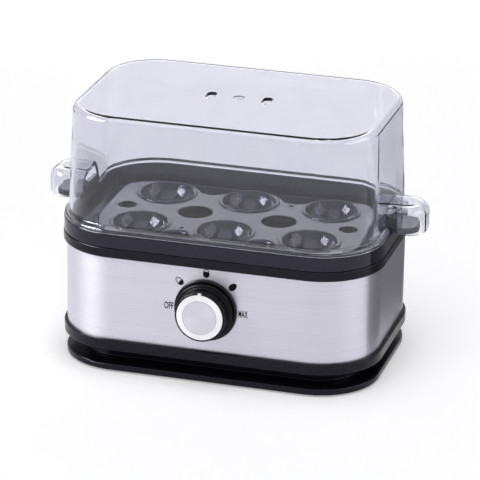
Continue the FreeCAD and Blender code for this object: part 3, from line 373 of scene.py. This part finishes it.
black_ink = printed("black_ink", dark="#060608", light="#0c0c0f")
white_ink = printed("white_ink", dark="#e9e9ec", light="#f4f4f6")
word("scale_off", "OFF", -OFF_TO_TOP)
egg_sign("scale_soft", -OFF_TO_TOP / 2, SOFT_FILL)
egg_sign("scale_medium", 0, MEDIUM_FILL)
egg_sign("scale_hard", OFF_TO_TOP / 2, HARD_FILL)
word("scale_max", "MAX", OFF_TO_TOP)

# Knob and bezel: a finely grooved grip on the control's shaft, and a thin disc under the control's nut.
# Both are black ABS. The grip is moulded with a satin grain and held by the spring clip, and the bezel is
# smoother, so that its edge shows a clearer line of light.
grip_abs = moulded("grip_black_abs", dark="#060608", light="#0c0c0f", roughness=(0.3, 0.38),
                   spot=0.4 * MM, relief=0.004 * MM, gloss=0.2)
give(grip_abs, "knob_body")
bezel_abs = moulded("bezel_black_abs", dark="#060608", light="#0c0c0f", roughness=(0.2, 0.26),
                    spot=0.6 * MM, relief=0.002 * MM, gloss=0.25)
give(bezel_abs, "knob_bezel")

# Knob cap: a thin disc of bright metal with a pointer on its edge, pressed into the face of the grip.
# It is turned on a lathe, which leaves fine rings, and its bevelled rim is painted lighter than its face,
# as a painted highlight.
TURNING_PITCH = 0.25 * MM
RIM_HIGHLIGHT_START = 10.3 * MM
RIM_HIGHLIGHT_END = 10.6 * MM
CAP_ROUGHNESS = {"To Min": 0.3, "To Max": 0.38}
knob_axis = (0, 0, knob_z)
across_axis = (1, 0, 1)

# Turned aluminium: the rings give a soft sheen round the face, inside a rim painted white as a painted
# highlight.
turned_aluminium, tree = new_material("turned_aluminium")
place = add_node(tree, "TexCoord").outputs["Object"]
from_axis = add_node(tree, "VectorMath", {"operation": "SUBTRACT"}, {0: place, 1: knob_axis}).outputs[0]
outward = add_node(tree, "VectorMath", {"operation": "MULTIPLY"}, {0: from_axis, 1: across_axis}).outputs[0]
distance = add_node(tree, "VectorMath", {"operation": "LENGTH"}, {0: outward}).outputs["Value"]
turning = {"W": distance, "Scale": 1 / TURNING_PITCH}
rings = add_node(tree, "TexNoise", {"noise_dimensions": "1D"}, turning).outputs[0]
# Past this radius the colour turns to the painted highlight of the bevelled rim.
painted_rim_highlight = {"Value": distance, "From Min": RIM_HIGHLIGHT_START, "From Max": RIM_HIGHLIGHT_END}
face_and_painted_rim = {
    MIX_SHARE: add_node(tree, "MapRange", {}, painted_rim_highlight).outputs["Result"],
    MIX_FIRST: tinted(tree, rings, "#cccbd4", "#dbdae2"),
    MIX_SECOND: tinted(tree, rings, "#f0eff4", "#f6f5f9"),
}
finish = {"Value": rings, **NOISE_SPAN, **CAP_ROUGHNESS}
shader = add_node(tree, "BsdfPrincipled", {}, {
    "Base Color": add_node(tree, "Mix", {"data_type": "RGBA"}, face_and_painted_rim).outputs[MIX_COLOUR],
    "Metallic": 1.0,
    "Roughness": add_node(tree, "MapRange", {}, finish).outputs["Result"],
    "Anisotropic": 0.5,
    "Tangent": add_node(tree, "Tangent", {"direction_type": "RADIAL", "axis": "Y"}).outputs["Tangent"],
})
add_node(tree, "OutputMaterial", {}, {"Surface": shader.outputs[0]})
give(turned_aluminium, "knob_cap")

# Egg tray and its handles: a tray with six bowls and steam holes that rests on the collar, with a handle to
# lift it by seated over each end of its rim. Both are black polypropylene from a polished mould.

# Polished black polypropylene: every curve carries a small, clear highlight.
polished_black = moulded("polished_black_polypropylene", dark="#141321", light="#1d1b2b",
                         roughness=(0.03, 0.05), spot=0.8 * MM, relief=0.0005 * MM, gloss=0.43)
give(polished_black, "egg_tray", "tray_handles")

# Lid: a clear cover with drafted walls and a lug over each handle, moulded in one and resting on the tray.
# This piece is the lid's own shape with two changes: the step round its foot is lower, as on the real lid,
# and its edges are a little rounded.
CLEAR_IOR = 1.49
RIPPLE = 12 * MM
LID_ROUGHNESS = {"To Min": 0.0, "To Max": 0.01}
# The step lies between these heights above the lid's foot.
STEP_BOTTOM = 5.1 * MM
STEP_TOP = 9.3 * MM
STEP_DROP = 4.8 * MM
CREASE = math.radians(30)
EDGE_ROUND = 0.4 * MM
EDGE_SEGMENTS = 2
MERGE_DISTANCE = 0.001 * MM

# Clear acrylic: things behind it show plainly, and it mirrors more at a slant.
# Light for the pieces inside passes straight through, with the same small loss.
clear_acrylic, tree = new_material("clear_acrylic")
ripple, passed = mottled(tree, RIPPLE, dark="#f4f4f8", light="#f6f6f9")
polish = add_node(tree, "MapRange", {}, {"Value": ripple, **NOISE_SPAN, **LID_ROUGHNESS}).outputs["Result"]
glass = add_node(tree, "BsdfGlass", {}, {"Color": passed, "Roughness": polish, "IOR": CLEAR_IOR})
window = add_node(tree, "BsdfTransparent", {}, {"Color": passed})
rays = add_node(tree, "LightPath").outputs
lighting = {0: rays["Is Shadow Ray"], 1: rays["Is Diffuse Ray"]}
lit_through = add_node(tree, "Math", {"operation": "MAXIMUM"}, lighting).outputs[0]
shader = add_node(tree, "MixShader", {}, {0: lit_through, 1: glass.outputs[0], 2: window.outputs[0]})
add_node(tree, "OutputMaterial", {}, {"Surface": shader.outputs[0]})

lid_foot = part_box("lid")[0][2]
builder = bmesh.new()
builder.from_mesh(nodes["lid"].data)
bmesh.ops.remove_doubles(builder, verts=builder.verts[:], dist=MERGE_DISTANCE)
step = [corner for corner in builder.verts if STEP_BOTTOM < corner.co.z - lid_foot < STEP_TOP]
bmesh.ops.translate(builder, verts=step, vec=(0, 0, -STEP_DROP))
for face in builder.faces:
    face.smooth = True
clear_lid = link_mesh("clear_lid", builder, clear_acrylic, "lid")
clear_lid.data.attributes.remove(clear_lid.data.attributes["custom_normal"])
clear_lid.data.set_sharp_from_angle(angle=CREASE)
rounded = clear_lid.modifiers.new("rounded_edges", "BEVEL")
rounded.limit_method = "ANGLE"
rounded.angle_limit = CREASE
rounded.width = EDGE_ROUND
rounded.segments = EDGE_SEGMENTS
even = clear_lid.modifiers.new("even_flats", "WEIGHTED_NORMAL")
even.keep_sharp = True
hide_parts("lid")

# Floor: a wide sheet of pale paper that the cooker stands on.
# It glows a little for the camera, through the lid and in reflections, so that it is about white and still
# carries the cooker's soft shadow. The glow rises where the lamps no longer reach.
FLOOR_HALF = 6.0
FLOOR_GLOW = 0.32
FAR_GLOW = 0.62
LAMPS_REACH = 0.4
LAMPS_END = 2.2
PAPER_FIBRE = 3 * MM

# Pale paper: even and matt, with hardly visible fibres.
pale_paper, tree = new_material("pale_paper")
rays = add_node(tree, "LightPath").outputs
looking = {0: rays["Is Camera Ray"], 1: rays["Is Transmission Ray"]}
looked_at = add_node(tree, "Math", {"operation": "MAXIMUM"}, looking).outputs[0]
showing = {0: looked_at, 1: rays["Is Glossy Ray"]}
shows = add_node(tree, "Math", {"operation": "MAXIMUM"}, showing).outputs[0]
place = add_node(tree, "TexCoord").outputs["Object"]
far_away = add_node(tree, "VectorMath", {"operation": "LENGTH"}, {0: place}).outputs["Value"]
glow = add_node(tree, "MapRange", {"interpolation_type": "SMOOTHSTEP"}, {
    "Value": far_away,
    "From Min": LAMPS_REACH,
    "From Max": LAMPS_END,
    "To Min": FLOOR_GLOW,
    "To Max": FAR_GLOW,
}).outputs["Result"]
strength = add_node(tree, "Math", {"operation": "MULTIPLY"}, {0: shows, 1: glow}).outputs[0]
paper_colour = mottled(tree, PAPER_FIBRE, dark="#e4e4e6", light="#e8e8ea")[1]
paper = add_node(tree, "BsdfDiffuse", {}, {"Color": paper_colour})
glowing = add_node(tree, "Emission", {}, {"Strength": strength})
shader = add_node(tree, "AddShader", {}, {0: paper.outputs[0], 1: glowing.outputs[0]})
add_node(tree, "OutputMaterial", {}, {"Surface": shader.outputs[0]})


def set_out(name, builder, material):
    """Make a mesh object of the studio, which is no part of the cooker."""
    mesh = bpy.data.meshes.new(name)
    builder.to_mesh(mesh)
    builder.free()
    mesh.materials.append(material)
    thing = bpy.data.objects.new(name, mesh)
    scene.collection.objects.link(thing)
    return thing


builder = bmesh.new()
bmesh.ops.create_grid(builder, x_segments=1, y_segments=1, size=FLOOR_HALF)
set_out("floor", builder, pale_paper)

# Room: plain walls and a darker ceiling all round the cooker.
# White walls show to the camera and through the lid, shiny surfaces mirror them dimmer, and matt ones get a
# plain level of light from all sides.
ROOM_LIGHT = 0.5
WALL_SEEN = 1.0
CEILING_SEEN = 0.5
MIRRORED = 0.62
WALL_TOP = math.sin(math.radians(28))
CEILING_START = math.sin(math.radians(42))
room = bpy.data.worlds.new("room")
room.use_nodes = True
scene.world = room
tree = room.node_tree
tree.nodes.clear()
rays = add_node(tree, "LightPath").outputs
looking = {0: rays["Is Camera Ray"], 1: rays["Is Transmission Ray"]}
looked_at = add_node(tree, "Math", {"operation": "MAXIMUM"}, looking).outputs[0]
direction = add_node(tree, "TexCoord").outputs["Generated"]
seen = add_node(tree, "MapRange", {"interpolation_type": "SMOOTHSTEP"}, {
    "Value": add_node(tree, "SeparateXYZ", {}, {0: direction}).outputs["Z"],
    "From Min": WALL_TOP,
    "From Max": CEILING_START,
    "To Min": WALL_SEEN,
    "To Max": CEILING_SEEN,
}).outputs["Result"]
mirrored = add_node(tree, "Math", {"operation": "MULTIPLY"}, {0: seen, 1: MIRRORED}).outputs[0]
by_surface = {"Value": rays["Is Glossy Ray"], "To Min": ROOM_LIGHT, "To Max": mirrored}
unseen = add_node(tree, "MapRange", {}, by_surface).outputs["Result"]
by_ray = {"Value": looked_at, "To Min": unseen, "To Max": seen}
strength = add_node(tree, "MapRange", {}, by_ray).outputs["Result"]
background = add_node(tree, "Background", {}, {"Color": linear("#ffffff"), "Strength": strength})
add_node(tree, "OutputWorld", {}, {"Surface": background.outputs[0]})

# Softboxes: a large one overhead that lights everything, one on the left and one on the right that light no
# matt surface but show in shiny ones, and one behind that shiny surfaces do not mirror.
LAMP_AIM = Vector((0, 0, 80 * MM))


def direction_to(azimuth, elevation):
    """Unit vector towards an azimuth, from the front to the right, and an elevation, both in radians."""
    level = math.cos(elevation)
    return Vector((math.sin(azimuth) * level, -math.cos(azimuth) * level, math.sin(elevation)))


def softbox(name, azimuth, elevation, distance, width, height, power):
    """Rectangular area light aimed at the cooker; angles in degrees, sizes in metres, power in watts."""
    light = bpy.data.lights.new(name, "AREA")
    light.shape = "RECTANGLE"
    light.size = width
    light.size_y = height
    light.energy = power
    lamp = bpy.data.objects.new(name, light)
    towards_lamp = direction_to(math.radians(azimuth), math.radians(elevation))
    lamp.location = LAMP_AIM + towards_lamp * distance
    lamp.rotation_euler = towards_lamp.to_track_quat("Z", "Y").to_euler()
    scene.collection.objects.link(lamp)
    return lamp


softbox("overhead", azimuth=5, elevation=68, distance=1.5, width=1.4, height=1.2, power=10)
key = softbox("key", azimuth=-62, elevation=31, distance=0.9, width=0.54, height=0.4, power=15)
key.visible_diffuse = False
fill = softbox("fill", azimuth=90, elevation=31, distance=1.0, width=1.0, height=0.6, power=5)
fill.visible_diffuse = False
back = softbox("back", azimuth=196, elevation=24, distance=1.6, width=1.6, height=0.8, power=4.5)
back.visible_glossy = False

# Grey cards: one on the floor at the right of the cooker and one standing behind it, of plain matt card.
# They show only where metal and gloss mirror them, and shade the right end of the steel shell.
CARD_HEIGHT = 0.6
CARD_LIFT = 1 * MM
NEAR_CORNER = Vector((0.13, -0.02, CARD_LIFT))
RIGHT_CORNER = Vector((1.3, 0.4, CARD_LIFT))
FAR_CORNER = Vector((0.45, 1.3, CARD_LIFT))
LEFT_CORNER = Vector((0.06, 0.3, CARD_LIFT))
card_top = Vector((0, 0, CARD_HEIGHT))
grey_card = moulded("grey_card", dark="#7c7c80", light="#858589", roughness=(0.8, 0.9),
                    spot=2 * MM, relief=0.01 * MM, gloss=0.1)


def mirrored_card(name, *corners):
    """Flat card with its corners at given points, hidden from all but mirrored rays."""
    builder = bmesh.new()
    builder.faces.new([builder.verts.new(corner) for corner in corners])
    card = set_out(name, builder, grey_card)
    card.visible_camera = False
    card.visible_diffuse = False
    card.visible_shadow = False
    card.visible_transmission = False


mirrored_card("floor_card", NEAR_CORNER, RIGHT_CORNER, FAR_CORNER, LEFT_CORNER)
mirrored_card("wall_card", RIGHT_CORNER, FAR_CORNER, FAR_CORNER + card_top, RIGHT_CORNER + card_top)

# Camera: a long lens to the right of the front and a little above the lid, rolled by less than a degree.
# Its values come from fitting the rings of the body to the photograph, and it aims at the shell's middle.
CAMERA_AZIMUTH = math.radians(15.873)
CAMERA_ELEVATION = math.radians(21.039)
CAMERA_ROLL = math.radians(0.812)
CAMERA_DISTANCE = 1868.8 * MM
CAMERA_SIDE = 1.77 * MM
CAMERA_AIM_HEIGHT = 66.54 * MM
CAMERA_LENS = 236.26
shell_middle = (shell_low[1] + shell_high[1]) / 2
towards = direction_to(CAMERA_AZIMUTH, CAMERA_ELEVATION)
level_right = Vector((math.cos(CAMERA_AZIMUTH), math.sin(CAMERA_AZIMUTH), 0))
level_up = towards.cross(level_right)
right = level_right * math.cos(CAMERA_ROLL) + level_up * math.sin(CAMERA_ROLL)
aim = Vector((0, shell_middle, CAMERA_AIM_HEIGHT)) + level_right * CAMERA_SIDE
camera_data = bpy.data.cameras.new("camera")
camera_data.lens = CAMERA_LENS
camera = bpy.data.objects.new("camera", camera_data)
turned = Matrix((right, towards.cross(right), towards)).transposed().to_4x4()
camera.matrix_world = Matrix.Translation(aim + towards * CAMERA_DISTANCE) @ turned
scene.collection.objects.link(camera)
scene.camera = camera
scene.view_settings.view_transform = "Standard"
